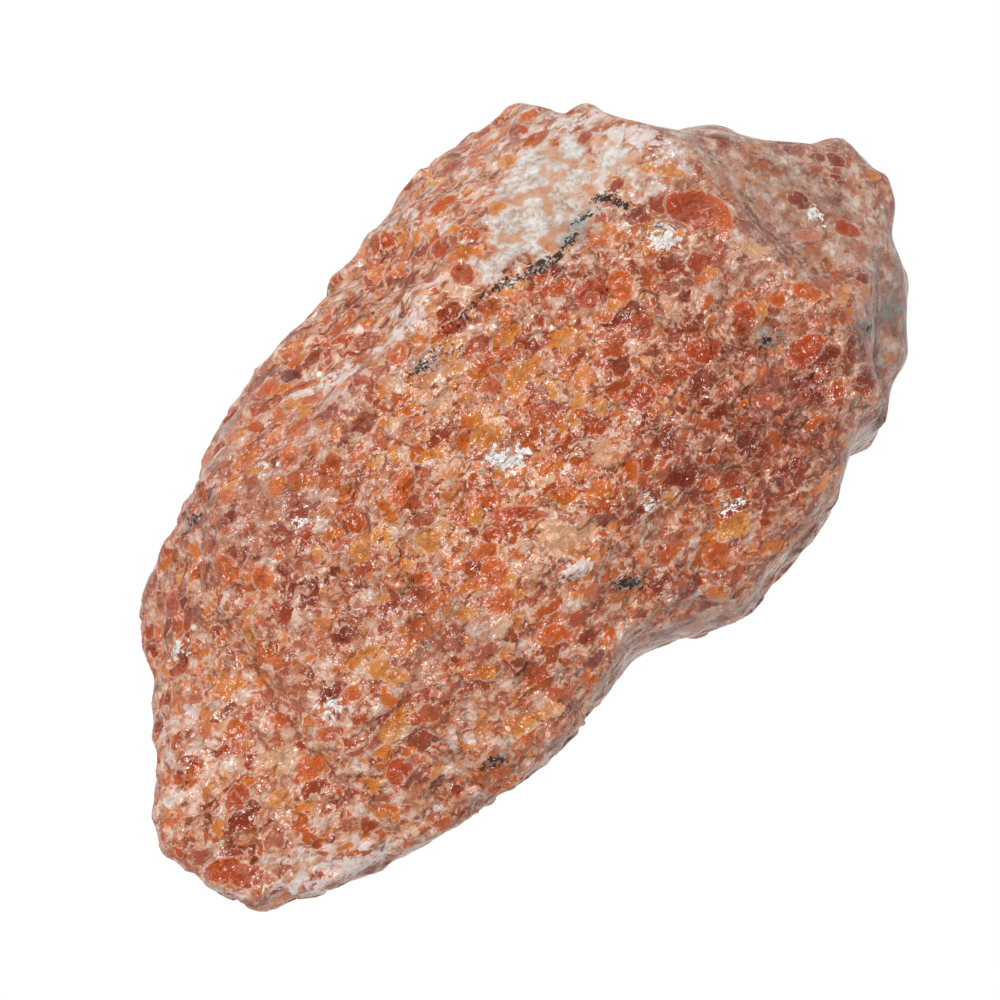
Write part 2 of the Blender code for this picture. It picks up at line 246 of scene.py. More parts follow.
GRAINS = (
    Mark("deep red under the seam", Layer.GRAIN, (588, 291), (1.8, 1.4), 10, 1, Tint.RED),
    Mark("orange beside it", Layer.GRAIN, (620, 283), (1.2, 1.6), 15, 1, Tint.ORANGE),
    Mark("great red grain", Layer.GRAIN, (692, 208), (2.8, 2.1), -15, 1, Tint.RED),
    Mark("orange blade on it", Layer.GRAIN, (718, 212), (1.0, 2.0), 20, 1, Tint.ORANGE),
    Mark("amber above it", Layer.GRAIN, (672, 172), (1.6, 0.7), -20, 1, Tint.AMBER),
    Mark("amber eye", Layer.GRAIN, (390, 674), (1.8, 1.0), -8, 1, Tint.AMBER),
    Mark("orange stack, top", Layer.GRAIN, (492, 572), (1.2, 1.3), 0, 1, Tint.ORANGE),
    Mark("orange stack, foot", Layer.GRAIN, (501, 601), (1.2, 0.9), 20, 1, Tint.ORANGE),
    Mark("red slab", Layer.GRAIN, (516, 514), (2.3, 0.7), 5, 1, Tint.RED),
    Mark("red block", Layer.GRAIN, (492, 534), (1.0, 0.8), 0, 1, Tint.RED),
    Mark("amber above the notch", Layer.GRAIN, (668, 500), (0.9, 0.8), 0, 1, Tint.AMBER),
    Mark("large amber flake", Layer.GRAIN, (568, 537), (2.4, 1.2), 20, 1, Tint.PEACH),
    Mark("amber flake under it", Layer.GRAIN, (580, 552), (1.6, 0.9), -20, 1, Tint.AMBER),
    Mark("yellow flake", Layer.GRAIN, (520, 375), (2.0, 1.0), 40, 1, Tint.AMBER),
    Mark("red by the white", Layer.GRAIN, (398, 354), (1.1, 1.2), 0, 1, Tint.ORANGE),
    Mark("pale blade", Layer.GRAIN, (602, 452), (0.8, 1.4), 10, 1, Tint.PEACH),
    Mark("amber and red", Layer.GRAIN, (487, 436), (1.4, 1.1), 0, 1, Tint.AMBER),
    Mark("orange by the shoulder", Layer.GRAIN, (556, 634), (1.9, 0.9), 10, 1, Tint.ORANGE),
    Mark("red in the middle", Layer.GRAIN, (640, 396), (1.6, 1.4), 0, 1, Tint.RED),
    Mark("red right face, upper", Layer.GRAIN, (806, 352), (2.0, 1.3), 25, 1, Tint.RED),
    Mark("brick beyond the ledge", Layer.GRAIN, (836, 158), (1.2, 0.9), 0, 1, Tint.BRICK),
    Mark("brick spot there", Layer.GRAIN, (836, 178), (0.9, 0.6), 0, 1, Tint.BRICK),
    Mark("salmon band", Layer.GRAIN, (806, 234), (1.8, 0.8), 15, 1, Tint.SALMON),
    Mark("orange tail grain", Layer.GRAIN, (312, 768), (2.1, 1.1), 30, 1, Tint.ORANGE),
    Mark("red tail grain", Layer.GRAIN, (236, 797), (1.2, 1.7), 0, 1, Tint.RED),
    Mark("amber ring", Layer.GRAIN, (281, 800), (0.9, 0.9), 0, 1, Tint.AMBER),
    Mark("pale ring", Layer.GRAIN, (263, 757), (1.0, 0.8), 0, 1, Tint.PEACH),
    Mark("red tip", Layer.GRAIN, (250, 876), (2.0, 1.1), -10, 1, Tint.RED),
    Mark("left edge red", Layer.GRAIN, (172, 604), (1.5, 1.2), 0, 1, Tint.RED),
    Mark("left amber", Layer.GRAIN, (248, 628), (0.7, 1.6), 0, 1, Tint.AMBER),
    Mark("left red", Layer.GRAIN, (262, 580), (1.0, 1.0), 0, 1, Tint.ORANGE),
    Mark("upper left orange", Layer.GRAIN, (312, 400), (1.2, 0.9), 30, 1, Tint.ORANGE),
    Mark("upper left amber", Layer.GRAIN, (236, 434), (1.2, 0.9), 30, 1, Tint.AMBER),
    Mark("blade of the crown", Layer.GRAIN, (402, 486), (1.2, 1.6), -20, 1, Tint.ORANGE),
    Mark("amber above the quartz", Layer.GRAIN, (507, 161), (1.1, 1.0), 0, 1, Tint.AMBER),
    Mark("orange on the crest", Layer.GRAIN, (484, 137), (1.6, 1.1), 0, 1, Tint.ORANGE),
    Mark("amber by the quartz", Layer.GRAIN, (496, 208), (1.0, 1.2), 0, 1, Tint.AMBER),
    Mark("red on the crest", Layer.GRAIN, (450, 168), (1.5, 1.0), 20, 1, Tint.RED),
    Mark("red lower on the crest", Layer.GRAIN, (440, 246), (1.6, 0.8), 0, 1, Tint.RED),
    Mark("red by the seam", Layer.GRAIN, (463, 273), (1.0, 1.2), 0, 1, Tint.RED),
    Mark("amber lower on the crest", Layer.GRAIN, (428, 305), (1.0, 0.9), 0, 1, Tint.AMBER),
    Mark("orange on the top end", Layer.GRAIN, (600, 141), (1.1, 0.7), 0, 1, Tint.PEACH),
    Mark("amber beside the top end", Layer.GRAIN, (648, 167), (1.0, 0.6), 0, 1, Tint.AMBER),
    Mark("red band by the edge", Layer.GRAIN, (847, 228), (1.8, 0.9), 0, 1, Tint.RED),
    Mark("brown spot", Layer.GRAIN, (800, 199), (1.1, 0.9), 0, 1, Tint.BRICK),
    Mark("orange brown spot", Layer.GRAIN, (807, 291), (1.4, 1.0), 10, 1, Tint.ORANGE),
    Mark("orange by the ledge", Layer.GRAIN, (778, 297), (1.0, 0.9), 0, 1, Tint.ORANGE),
    Mark("spot by the edge", Layer.GRAIN, (867, 274), (1.0, 0.9), 0, 1, Tint.BRICK),
    Mark("cream flake", Layer.GRAIN, (670, 305), (0.8, 1.9), 25, 1, Tint.PEACH),
    Mark("dark red hole in it", Layer.GRAIN, (683, 294), (0.6, 1.1), 0, 1, Tint.BRICK),
    Mark("red foot", Layer.GRAIN, (706, 350), (1.9, 1.3), 20, 1, Tint.RED),
    Mark("red at the ledge", Layer.GRAIN, (744, 318), (1.0, 1.6), -10, 1, Tint.RED),
    Mark("cream by the ledge", Layer.GRAIN, (750, 248), (1.7, 0.8), 0, 1, Tint.PEACH),
    Mark("red wall of the middle", Layer.GRAIN, (420, 580), (1.2, 0.8), 10, 1, Tint.ORANGE),
    Mark("amber spill, middle", Layer.GRAIN, (430, 540), (1.2, 0.9), -30, 1, Tint.AMBER),
    Mark("amber by the painted glint", Layer.GRAIN, (468, 398), (1.2, 0.8), 0, 1, Tint.AMBER),
    Mark("orange right of the crown", Layer.GRAIN, (630, 470), (0.9, 1.4), 0, 1, Tint.ORANGE),
    Mark("round red, right face", Layer.GRAIN, (716, 556), (1.5, 1.4), 0, 1, Tint.ORANGE),
    Mark("tail orange, upper", Layer.GRAIN, (236, 728), (1.1, 1.1), 0, 1, Tint.ORANGE),
    Mark("tail orange, foot", Layer.GRAIN, (225, 870), (1.6, 0.9), 20, 1, Tint.RED),
    Mark("red by the tail", Layer.GRAIN, (400, 772), (1.1, 1.1), 0, 1, Tint.RED),
    Mark("left orange, upper", Layer.GRAIN, (232, 436), (1.1, 1.1), 0, 1, Tint.ORANGE),
    Mark("left orange, middle", Layer.GRAIN, (268, 388), (1.5, 1.0), 20, 1, Tint.ORANGE),
    Mark("left orange, high", Layer.GRAIN, (398, 498), (0.9, 1.1), 0, 1, Tint.ORANGE),
    Mark("left amber blade", Layer.GRAIN, (362, 548), (0.8, 1.6), -10, 1, Tint.AMBER),
    Mark("left orange, low", Layer.GRAIN, (226, 568), (1.1, 1.2), 0, 1, Tint.ORANGE),
)


@dataclass(frozen=True)
class Photograph:
    """The photograph's camera: a long lens, high above the stone."""

    side_px: int = 1000
    azimuth_deg: float = -45.7
    elevation_deg: float = 75.0
    distance: float = 300 * MM
    lens: float = 118.8
    film: float = 36.0
    target: tuple[float, float, float] = (-1.95 * MM, -1.78 * MM, 12.3 * MM)
    nearest: float = 10 * MM

    def back(self) -> Vector:
        """Works out where the camera is, seen from the stone.

        Returns:
            The direction, of length 1.
        """
        turn, rise = math.radians(self.azimuth_deg), math.radians(self.elevation_deg)
        flat = math.cos(rise)
        return Vector((math.sin(turn) * flat, -math.cos(turn) * flat, math.sin(rise)))

    def place(self) -> Vector:
        """Returns where the camera stands."""
        return Vector(self.target) + self.back() * self.distance

    def axes(self) -> tuple[Vector, Vector]:
        """Returns the directions of the picture's right and top."""
        turn = (-self.back()).to_track_quat("-Z", "Y")
        return turn @ Vector((1, 0, 0)), turn @ Vector((0, 1, 0))

    def ray(self, pixel: tuple[float, float]) -> Vector:
        """Gives the direction in which the camera sees a pixel.

        Args:
            pixel: across and down, in the photograph's frame.

        Returns:
            The direction, of length 1.
        """
        right, top = self.axes()
        half = self.side_px / 2
        step = self.film / self.lens / self.side_px
        across, up = (pixel[0] - half) * step, (half - pixel[1]) * step
        return (right * across + top * up - self.back()).normalized()

    def build(self) -> bpy.types.Object:
        """Makes the camera and hands it to the scene.

        Returns:
            The camera.
        """
        camera = bpy.data.objects.new("camera", bpy.data.cameras.new("camera"))
        bpy.context.scene.collection.objects.link(camera)
        camera.data.lens = self.lens
        camera.data.sensor_width = self.film
        camera.data.clip_start = self.nearest
        camera.location = self.place()
        camera.rotation_mode = "QUATERNION"
        camera.rotation_quaternion = (-self.back()).to_track_quat("-Z", "Y")
        bpy.context.scene.camera = camera
        return camera


class Wiring:
    """Adds nodes to a node tree and links them, in a material and in geometry nodes alike."""

    def __init__(self, tree: bpy.types.NodeTree) -> None:
        """Starts with a tree to add to.

        Args:
            tree: the node tree.
        """
        self.tree = tree

    def add(self, kind: str, **settings: object) -> bpy.types.Node:
        """Adds a node.

        Args:
            kind: the node's type name.
            settings: its properties.

        Returns:
            The node.
        """
        node = self.tree.nodes.new(kind)
        for name, setting in settings.items():
            setattr(node, name, setting)
        return node

    def feed(self, target: Socket, value: Value) -> None:
        """Links a socket to an input, or sets the input to a constant.

        Args:
            target: the input.
            value: a socket, a number, a colour or a vector.
        """
        if isinstance(value, Socket):
            self.tree.links.new(value, target)
        else:
            target.default_value = value

    def attribute(self, name: str, kind: str) -> Socket:
        """Reads an attribute of the mesh, in geometry nodes.

        Args:
            name: its name.
            kind: its data type.

        Returns:
            Its value.
        """
        node = self.add("GeometryNodeInputNamedAttribute", data_type=kind)
        node.inputs["Name"].default_value = name
        return node.outputs["Attribute"]

    def math(self, operation: str, first: Value, second: Value = 0.0, third: Value = 0.0) -> Socket:
        """Adds a Math node.

        Args:
            operation: its operation.
            first: its first input.
            second: its second input.
            third: its third input.

        Returns:
            Its result.
        """
        node = self.add("ShaderNodeMath", operation=operation)
        for socket, value in zip(node.inputs, (first, second, third)):
            self.feed(socket, value)
        return node.outputs[0]

    def vector(self, operation: str, first: Value, second: Value = (0, 0, 0)) -> Socket:
        """Adds a Vector Math node.

        Args:
            operation: its operation.
            first: its first vector.
            second: its second vector, or the factor of a SCALE.

        Returns:
            Its vector, or its number for a DOT_PRODUCT.
        """
        node = self.add("ShaderNodeVectorMath", operation=operation)
        self.feed(node.inputs[0], first)
        self.feed(node.inputs["Scale" if operation == "SCALE" else 1], second)
        return node.outputs["Value" if operation == "DOT_PRODUCT" else "Vector"]

    def mix(self, factor: Value, first: Value, second: Value) -> Socket:
        """Mixes two colours.

        Args:
            factor: how much of the second one shows.
            first: the colour below.
            second: the colour on top.

        Returns:
            The mixed colour.
        """
        node = self.add("ShaderNodeMix", data_type="RGBA")
        self.feed(node.inputs[0], factor)
        self.feed(node.inputs[6], first)
        self.feed(node.inputs[7], second)
        return node.outputs[2]

    def between(self, factor: Value, first: Value, second: Value) -> Socket:
        """Mixes two numbers.

        Args:
            factor: how much of the second one counts.
            first: the number at 0.
            second: the number at 1.

        Returns:
            The mixed number.
        """
        node = self.add("ShaderNodeMix", data_type="FLOAT")
        self.feed(node.inputs[0], factor)
        self.feed(node.inputs[2], first)
        self.feed(node.inputs[3], second)
        return node.outputs[0]

    def rise(self, value: Value, low: Value, high: Value) -> Socket:
        """Turns a number into a mask that goes smoothly from 0 at low to 1 at high.

        Args:
            value: the number.
            low: where the mask is 0.
            high: where it is 1.

        Returns:
            The mask.
        """
        node = self.add("ShaderNodeMapRange", interpolation_type="SMOOTHSTEP")
        for socket, number in zip(node.inputs, (value, low, high, 0.0, 1.0)):
            self.feed(socket, number)
        return node.outputs[0]

    def sway(self, source: Value, amount: float, base: Value) -> Socket:
        """Adds a random number's swing about its middle, which is 0.5, to another number.

        Args:
            source: the random number, 0 to 1.
            amount: how much of the swing is added.
            base: the other number.

        Returns:
            The sum.
        """
        return self.math("MULTIPLY_ADD", self.math("SUBTRACT", source, 0.5), amount, base)

    def line(self, value: Value, middle: float, inner: float, outer: float) -> Socket:
        """Makes a mask of a thin line that follows a middle value of a number.

        Args:
            value: the number.
            middle: the value that the line follows.
            inner: how far from it the mask is still 1.
            outer: how far from it the mask is 0.

        Returns:
            The mask.
        """
        away = self.math("ABSOLUTE", self.math("SUBTRACT", value, middle))
        return self.math("SUBTRACT", 1.0, self.rise(away, inner, outer))

    def noise(self, point: Value, size: float, detail: float = 2.0, roughness: float = 0.5) -> bpy.types.Node:
        """Adds a noise texture.

        Args:
            point: where it is read, in millimetres.
            size: how far apart its lumps are, in millimetres.
            detail: its octaves.
            roughness: how much each octave adds.

        Returns:
            The node, with a Fac and a Color.
        """
        node = self.add("ShaderNodeTexNoise", noise_dimensions="3D")
        self.feed(node.inputs["Vector"], point)
        self.feed(node.inputs["Scale"], 1 / size)
        self.feed(node.inputs["Detail"], detail)
        self.feed(node.inputs["Roughness"], roughness)
        return node

    def ramp(self, value: Value, stops: tuple[tuple[float, Colour], ...]) -> Socket:
        """Adds a colour ramp.

        Args:
            value: what it reads.
            stops: its places, 0 to 1, and their colours.

        Returns:
            Its colour.
        """
        node = self.add("ShaderNodeValToRGB")
        elements = node.color_ramp.elements
        while len(elements) < len(stops):
            elements.new(1.0)
        for element, (place, shade) in zip(elements, stops):
            element.position = place
            element.color = shade
        self.feed(node.inputs[0], value)
        return node.outputs[0]

    def parts(self, vector: Value) -> tuple[Socket, Socket, Socket]:
        """Splits a vector or a colour into its three numbers.

        Args:
            vector: the vector or colour.

        Returns:
            Its three numbers.
        """
        node = self.add("ShaderNodeSeparateXYZ")
        self.feed(node.inputs[0], vector)
        return node.outputs[0], node.outputs[1], node.outputs[2]


class Grains(NamedTuple):
    """What a field of broken grains gives.

    chance is three random numbers for each grain, lean the height of its tilted face in grain widths,
    and rim the distance to its rim in millimetres.
    """

    chance: Socket
    lean: Socket
    rim: Socket


@dataclass(frozen=True)
class GrainSize:
    """One size of grain in the rock.

    size is its width in millimetres, stretch how much longer it is along the bedding, and slope that of
    its faces. share is how many of the grains show by their colour, and gap the millimetres of matrix
    left inside the rim of some.
    """

    size: float
    stretch: float
    slope: float
    share: float = 0.0
    gap: float = 0.0

    def field(self, wiring: Wiring, bent: Value) -> Grains:
        """Adds the nodes of a field of broken grains, each with its own tilted face.

        Args:
            wiring: where to add them.
            bent: the place in the stone, in millimetres, already bent so that rims are ragged.

        Returns:
            The field.
        """
        cell = (self.size * self.stretch, self.size, self.size)
        place = wiring.vector("DIVIDE", bent, cell)
        nearest = wiring.add("ShaderNodeTexVoronoi", feature="F1")
        wiring.feed(nearest.inputs["Vector"], place)
        wiring.feed(nearest.inputs["Scale"], 1.0)
        chance = nearest.outputs["Color"]
        away = wiring.vector("SUBTRACT", place, nearest.outputs["Position"])
        lean = wiring.vector("DOT_PRODUCT", away, wiring.vector("SUBTRACT", chance, (0.5, 0.5, 0.5)))
        border = wiring.add("ShaderNodeTexVoronoi", feature="DISTANCE_TO_EDGE")
        wiring.feed(border.inputs["Vector"], place)
        wiring.feed(border.inputs["Scale"], 1.0)
        return Grains(chance, lean, wiring.math("MULTIPLY", border.outputs["Distance"], self.size))

    def height(self, wiring: Wiring, grains: Grains) -> Socket:
        """Turns the faces' lean into a height.

        Args:
            wiring: where to add the nodes.
            grains: the field.

        Returns:
            The height, in millimetres.
        """
        return wiring.math("MULTIPLY", grains.lean, self.size * self.slope * 2)


COARSE = GrainSize(size=2.6, stretch=1.3, slope=0.17, share=0.36, gap=0.35)
FLAKE = GrainSize(size=1.45, stretch=1.9, slope=0.4, share=0.55, gap=0.12)
FINE = GrainSize(size=0.8, stretch=2.0, slope=0.5, share=0.5, gap=0.08)
MICRO = GrainSize(size=0.38, stretch=1.4, slope=0.7)


@dataclass
class Skin:
    """The stone's surface: a fine mesh over the solid, with its markings and its grain relief.

    solid is the node's object, which is only read, and photograph the camera that the markings are
    placed by. grid, weld and foot_height are in metres. The sizes of the noises, and how far wander and
    curl bend the grains' rims, are in millimetres.
    """

    solid: bpy.types.Object
    photograph: Photograph
    grid: float = 0.39 * MM
    weld: float = 0.001 * MM
    rounding: float = 0.5
    smooth_rounds: int = 8
    wear_rounds: int = 3
    weather_rounds: int = 110
    least_weathered: float = 0.02
    foot_height: float = 0.5 * MM
    flat_foot: float = 0.2
    bedding_deg: float = -15.7
    wander_size: float = 1.3
    wander: float = 1.2
    curl_size: float = 1.0
    curl: float = 1.0
    patch_size: float = 7.0
    cloud_size: float = 1.6
    coarse_stand: float = 0.1
    flake_relief: float = 0.25
    quartz_calm: float = 0.6

    def build(self) -> bpy.types.Object:
        """Makes the finished surface.

        Returns:
            The stone's object.
        """
        stone = self.copy_solid()
        self.even_out(stone)
        self.paint(stone)
        self.raise_grains(stone)
        self.flatten_foot(stone)
        return stone

    def copy_solid(self) -> bpy.types.Object:
        """Copies the solid's loose triangles and merges them.

        Returns:
            The copy.
        """
        loose = bmesh.new()
        loose.from_mesh(self.solid.data)
        bmesh.ops.remove_doubles(loose, verts=loose.verts, dist=self.weld)
        mesh = bpy.data.meshes.new("sunstone_chunk")
        loose.to_mesh(mesh)
        loose.free()
        stone = bpy.data.objects.new("sunstone_chunk", mesh)
        bpy.context.scene.collection.objects.link(stone)
        return stone

    def even_out(self, stone: bpy.types.Object) -> None:
        """Rebuilds the mesh on a fine even grid and rounds the solid's facets.

        Args:
            stone: the object to change.
        """
        grid = stone.modifiers.new("even grid", "REMESH")
        grid.mode = "VOXEL"
        grid.voxel_size = self.grid
        self.smooth(stone, "rounding", self.smooth_rounds)
        settle_modifiers(stone)

    def smooth(self, stone: bpy.types.Object, name: str, rounds: int) -> bpy.types.Modifier:
        """Adds a modifier that smooths the surface.

        Args:
            stone: the object to change.
            name: the modifier's name.
            rounds: how many times it smooths.

        Returns:
            The modifier.
        """
        modifier = stone.modifiers.new(name, "SMOOTH")
        modifier.factor = self.rounding
        modifier.iterations = rounds
        return modifier

    def paint(self, stone: bpy.types.Object) -> None:
        """Stores the bedding coordinates and every marking as attributes.

        Args:
            stone: the object to paint.
        """
        mesh = stone.data
        points = read_points(mesh) / MM
        turn = math.radians(self.bedding_deg)
        along = np.array((math.cos(turn), math.sin(turn), 0.0))
        across = np.array((-math.sin(turn), math.cos(turn), 0.0))
        bed = np.stack((points @ along, points @ across, points[:, 2]), axis=1)
        store(mesh, BED, bed)
        marker = Marker(mesh, self.photograph, points)
        for layer in SOFT_LAYERS:
            store(mesh, layer.value, marker.soft(layer, ZONES))
        for layer in CRISP_LAYERS:
            reach, tint = marker.crisp(layer, SPOTS + GRAINS)
            store(mesh, layer.value, reach)
            if layer is Layer.GRAIN:
                store(mesh, GRAIN_TINT, tint)
        height = points[:, 2] * MM / self.foot_height
        store(mesh, RELIEF, np.clip(height - self.flat_foot, 0.0, 1.0))

    def raise_grains(self, stone: bpy.types.Object) -> None:
        """Lifts each grain's tilted face out of the surface, then wears the surface smoother.

        Args:
            stone: the object to change.
        """
        relief = stone.modifiers.new("grain relief", "NODES")
        relief.node_group = self.relief_tree()
        self.smooth(stone, "wear", self.wear_rounds)
        weathering = self.smooth(stone, "weathering", self.weather_rounds)
        weathering.vertex_group = self.weathered(stone).name
        settle_modifiers(stone)
        stone.vertex_groups.clear()

    def relief_tree(self) -> bpy.types.NodeTree:
        """Makes the geometry nodes that lift the grains, and that keep their fields for the finish.

        Returns:
            The node tree.
        """
        tree = bpy.data.node_groups.new("grain relief", "GeometryNodeTree")
        tree.interface.new_socket("Geometry", in_out="INPUT", socket_type="NodeSocketGeometry")
        tree.interface.new_socket("Geometry", in_out="OUTPUT", socket_type="NodeSocketGeometry")
        wiring = Wiring(tree)
        start = wiring.add("NodeGroupInput")
        end = wiring.add("NodeGroupOutput")
        bed = wiring.attribute(BED, "FLOAT_VECTOR")
        curled = wiring.vector("ADD", bed, self.shift(wiring, bed, self.curl_size, self.curl))
        bent = wiring.vector("ADD", curled, self.shift(wiring, bed, self.wander_size, self.wander))
        coarse = COARSE.field(wiring, bent)
        geometry = start.outputs[0]
        for name, kind, value in (
            (BENT, "FLOAT_VECTOR", bent),
            (CURLED, "FLOAT_VECTOR", curled),
            (PATCHES, "FLOAT", wiring.noise(bed, self.patch_size, 2.0).outputs["Fac"]),
            (CLOUDS, "FLOAT", wiring.noise(bed, self.cloud_size, 2.0, 0.6).outputs["Fac"]),
            (COARSE_CHANCE, "FLOAT_VECTOR", coarse.chance),
            (COARSE_LEAN, "FLOAT", coarse.lean),
            (COARSE_RIM, "FLOAT", coarse.rim),
        ):
            keeper = wiring.add("GeometryNodeStoreNamedAttribute", data_type=kind, domain="POINT")
            wiring.feed(keeper.inputs["Geometry"], geometry)
            keeper.inputs["Name"].default_value = name
            wiring.feed(keeper.inputs["Value"], value)
            geometry = keeper.outputs["Geometry"]
        mover = wiring.add("GeometryNodeSetPosition")
        wiring.feed(mover.inputs["Geometry"], geometry)
        wiring.feed(mover.inputs["Offset"], self.lift(wiring, coarse, FLAKE.field(wiring, bent)))
        wiring.feed(end.inputs[0], mover.outputs["Geometry"])
        return tree

    def shift(self, wiring: Wiring, bed: Socket, size: float, reach: float) -> Socket:
        """Works out a random shift of a place, which makes the grains' rims ragged.

        Args:
            wiring: where to add the nodes.
            bed: the place along the bedding, in millimetres.
            size: how far apart the shift's lumps are, in millimetres.
            reach: how much it shifts, in millimetres.

        Returns:
            The shift.
        """
        noise = wiring.noise(bed, size, 1.0).outputs["Color"]
        return wiring.vector("SCALE", wiring.vector("SUBTRACT", noise, (0.5, 0.5, 0.5)), reach)

    def lift(self, wiring: Wiring, coarse: Grains, flake: Grains) -> Socket:
        """Works out how the surface moves, which is less on the quartz and not at all at the foot.

        Args:
            wiring: where to add the nodes.
            coarse: the field of the coarsest grains.
            flake: the field of the flakes.

        Returns:
            The offset along the normal, in metres.
        """
        stand, _, _ = wiring.parts(coarse.chance)
        height = wiring.sway(stand, self.coarse_stand, COARSE.height(wiring, coarse))
        height = wiring.math("MULTIPLY_ADD", FLAKE.height(wiring, flake), self.flake_relief, height)
        calm = wiring.rise(wiring.attribute(Layer.QUARTZ.value, "FLOAT"), -0.5, 0.5)
        softer = wiring.math("MULTIPLY_ADD", calm, -self.quartz_calm, 1.0)
        height = wiring.math("MULTIPLY", height, softer)
        height = wiring.math("MULTIPLY", height, wiring.attribute(RELIEF, "FLOAT"))
        normal = wiring.add("GeometryNodeInputNormal").outputs["Normal"]
        return wiring.vector("SCALE", normal, wiring.math("MULTIPLY", height, MM))

    def weathered(self, stone: bpy.types.Object) -> bpy.types.VertexGroup:
        """Groups the vertices of the weathered and worn parts, which are smoother than the rest.

        Args:
            stone: the object, already painted.

        Returns:
            The group, weighted by how weathered a vertex is.
        """
        worn = np.zeros(len(stone.data.vertices), dtype=np.float32)
        for layer in (Layer.CRUST_AND_SHADE, Layer.WORN):
            part = np.empty(len(worn), dtype=np.float32)
            stone.data.attributes[layer.value].data.foreach_get("value", part)
            worn += part
        group = stone.vertex_groups.new(name="weathered")
        for index, weight in enumerate(np.clip(worn, 0.0, 1.0)):
            if weight > self.least_weathered:
                group.add([index], float(weight), "REPLACE")
        return group

    def flatten_foot(self, stone: bpy.types.Object) -> None:
        """Keeps the stone above the plane that it rests on.

        Args:
            stone: the object to change.
        """
        points = read_points(stone.data)
        points[:, 2] = np.maximum(points[:, 2], 0.0)
        stone.data.vertices.foreach_set("co", points.astype(np.float32).ravel())
        stone.data.update()


class Marker:
    """Works out how far each point of the surface is inside the markings."""

    def __init__(self, mesh: bpy.types.Mesh, photograph: Photograph, points: np.ndarray) -> None:
        """Prepares to place marks by the photograph's pixels.

        Args:
            mesh: the surface.
            photograph: the camera.
            points: the mesh's vertices, in millimetres.
        """
        self.photograph = photograph
        self.points = points
        self.tree = BVHTree.FromPolygons(
            [vertex.co.copy() for vertex in mesh.vertices],
            [tuple(face.vertices) for face in mesh.polygons],
        )

    def distance(self, mark: Mark) -> np.ndarray:
        """Measures every point's distance from a mark, where 1 is the mark's rim.

        Args:
            mark: the mark.

        Returns:
            One distance for each point.
        """
        origin = self.photograph.place()
        place, normal, _, _ = self.tree.ray_cast(origin, self.photograph.ray(mark.pixel))
        if place is None:
            LOG.warning("%s misses the stone", mark.name)
            return np.full(len(self.points), MISSED)
        right, top = self.photograph.axes()
        turn = math.radians(mark.turn_deg)
        along = right * math.cos(turn) + top * math.sin(turn)
        along = (along - normal * along.dot(normal)).normalized()
        across = normal.cross(along)
        offset = self.points - np.array(place) / MM
        long, short = mark.size_mm
        return np.sqrt(
            (offset @ np.array(along) / long) ** 2
            + (offset @ np.array(across) / short) ** 2
            + (offset @ np.array(normal) / max(long, short)) ** 2
        )

    def soft(self, layer: Layer, marks: tuple[Mark, ...]) -> np.ndarray:
        """Adds up the soft marks of a layer.

        Args:
            layer: the layer.
            marks: all marks.

        Returns:
            The sum at each point.
        """
        total = np.zeros(len(self.points))
        for mark in marks:
            if mark.layer is layer:
                total += mark.amount * np.exp(-self.distance(mark) ** 2)
        return total

    def crisp(self, layer: Layer, marks: tuple[Mark, ...]) -> tuple[np.ndarray, np.ndarray]:
        """Finds how far inside the marks of a layer each point is, and their tint there.

        Args:
            layer: the layer.
            marks: all marks.

        Returns:
            The millimetres inside the nearest rim, negative outside, and the marks' tints, blended by
            how far inside each mark the point is.
        """
        reach = np.full(len(self.points), -FAR_MM)
        blend = np.tile(np.array(Tint.ORANGE.value), (len(self.points), 1)) * NO_WEIGHT
        weight = np.full((len(self.points), 1), NO_WEIGHT)
        for mark in marks:
            if mark.layer is layer:
                inside = (1 - self.distance(mark)) * min(mark.size_mm)
                reach = np.maximum(reach, inside)
                share = np.exp(np.clip(inside, -FAR_MM, FAR_MM) * TINT_EDGE)[:, None]
                blend += share * np.array(mark.tint.value)
                weight += share
        return reach, blend / weight


def read_points(mesh: bpy.types.Mesh) -> np.ndarray:
    """Reads a mesh's vertices.

    Args:
        mesh: the mesh.

    Returns:
        One row for each vertex, in metres.
    """
    flat = np.empty(len(mesh.vertices) * 3, dtype=np.float32)
    mesh.vertices.foreach_get("co", flat)
    return flat.reshape(-1, 3).astype(np.float64)


def store(mesh: bpy.types.Mesh, name: str, values: np.ndarray) -> None:
    """Stores one value for each vertex as an attribute.

    Args:
        mesh: the mesh.
        name: the attribute's name.
        values: one number, vector or colour for each vertex.
    """
    width = 1 if values.ndim == 1 else values.shape[1]
    kind, field = {1: ("FLOAT", "value"), 3: ("FLOAT_VECTOR", "vector"), 4: ("FLOAT_COLOR", "color")}[width]
    attribute = mesh.attributes.new(name, kind, "POINT")
    attribute.data.foreach_set(field, values.astype(np.float32).ravel())


def settle_modifiers(thing: bpy.types.Object) -> None:
    """Makes an object's modifiers part of its mesh.

    Args:
        thing: the object.
    """
    depsgraph = bpy.context.evaluated_depsgraph_get()
    before = thing.data
    name = before.name
    finished = bpy.data.meshes.new_from_object(thing.evaluated_get(depsgraph), depsgraph=depsgraph)
    thing.modifiers.clear()
    thing.data = finished
    bpy.data.meshes.remove(before)
    finished.name = name


class Ground(NamedTuple):
    """What the parts of the finish read: the masks of the markings, the fields of grains, the noises."""

    mask: dict[Layer, Socket]
    bed: Socket
    coarse: Grains
    flake: Grains
    fine: Grains
    micro: Grains
    patches: Socket
    clouds: Socket
    wisps: Socket
    grit: Socket


